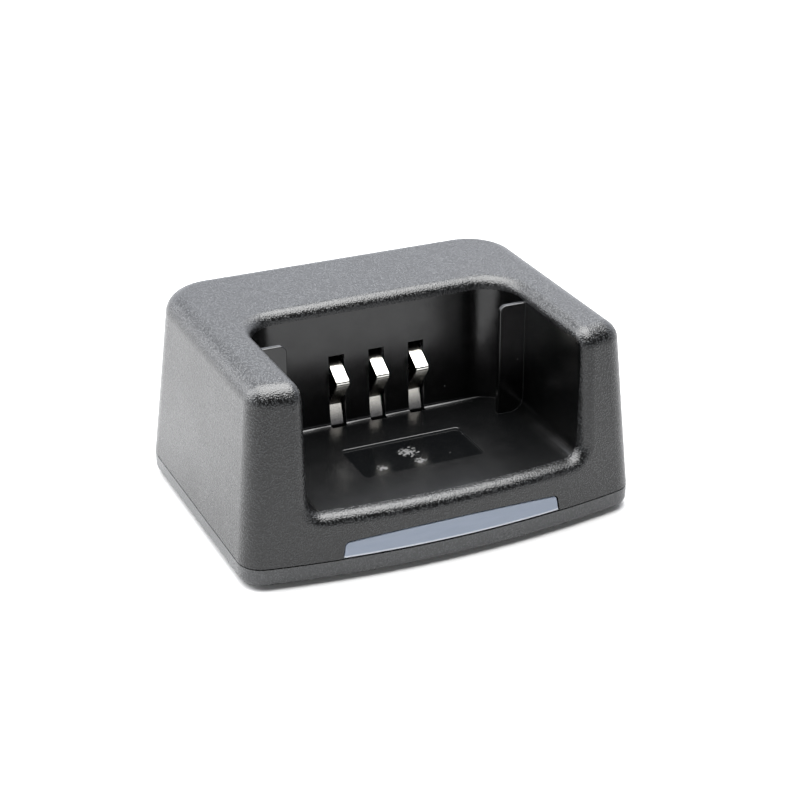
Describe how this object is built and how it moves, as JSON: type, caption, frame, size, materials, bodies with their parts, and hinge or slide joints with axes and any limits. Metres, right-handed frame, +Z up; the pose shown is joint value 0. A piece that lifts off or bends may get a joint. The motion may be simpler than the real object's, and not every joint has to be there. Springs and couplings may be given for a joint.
{
  "type": "desktop charging cradle for a portable radio",
  "caption": "Desktop charging cradle with an open-fronted pocket for a portable radio, sprung strip contacts in its back wall and a status light bar in front.",
  "frame": {"origin": "on the table, under the middle of the cradle's box", "axes": "+X to the cradle's right seen from the front, +Y to the back, +Z up"},
  "size_m": [0.11, 0.0873, 0.0533],
  "materials": {
    "shell_plastic": "textured",
    "base_plastic": "textured",
    "bar_lens": "translucent",
    "label_film": "satin",
    "screw_steel": "blackened",
    "board_laminate": "solder mask",
    "block_plastic": "moulded",
    "jack_plastic": "moulded",
    "tinned_metal": "tinned",
    "nickel_strip": "nickel plated",
    "ferrite": "sintered",
    "can_aluminium": "satin",
    "chip_black": "moulded",
    "fuse_body": "ceramic",
    "ceramic_chip": "ceramic",
    "led_resin": "clear",
    "foot_rubber": "matt"
  },
  "bodies": {
    "cradle": {"upper_shell": "shell_plastic", "base_cover": "base_plastic", "light_bar": "bar_lens", "rating_label": "label_film", "housing_screws": "screw_steel", "board_screws": "screw_steel", "contact_block_screws": "screw_steel", "circuit_board": "board_laminate", "contact_block": "block_plastic", "dc_jack_body": "jack_plastic", "dc_jack_pin": "tinned_metal", "dc_jack_terminals": "tinned_metal", "power_inductor": "ferrite", "input_capacitor": "can_aluminium", "output_capacitor": "can_aluminium", "charge_controller": "chip_black", "charge_controller_leads": "tinned_metal", "power_transistor": "chip_black", "rectifier_diode": "chip_black", "fuse": "fuse_body", "chip_resistors": "chip_black", "chip_capacitors": "ceramic_chip", "status_led_left": "led_resin", "status_led_right": "led_resin", "rubber_foot_front_left": "foot_rubber", "rubber_foot_front_right": "foot_rubber", "rubber_foot_rear_left": "foot_rubber", "rubber_foot_rear_right": "foot_rubber", "contact_tail_left": "nickel_strip", "contact_tail_middle": "nickel_strip", "contact_tail_right": "nickel_strip"},
    "contact_left": {"contact_spring_left": "nickel_strip"},
    "contact_middle": {"contact_spring_middle": "nickel_strip"},
    "contact_right": {"contact_spring_right": "nickel_strip"}
  },
  "joints": [
    {"name": "contact_left_flex", "type": "hinge", "parent": "cradle", "child": "contact_left", "pos_m": [-0.0116, 0.0059, 0.0139], "axis": [-1, 0, 0], "range_deg": [0, 9], "stiffness_Nm_per_rad": 0.13},
    {"name": "contact_middle_flex", "type": "hinge", "parent": "cradle", "child": "contact_middle", "pos_m": [0, 0.0059, 0.0139], "axis": [-1, 0, 0], "range_deg": [0, 9], "stiffness_Nm_per_rad": 0.13},
    {"name": "contact_right_flex", "type": "hinge", "parent": "cradle", "child": "contact_right", "pos_m": [0.0116, 0.0059, 0.0139], "axis": [-1, 0, 0], "range_deg": [0, 9], "stiffness_Nm_per_rad": 0.13}
  ]
}
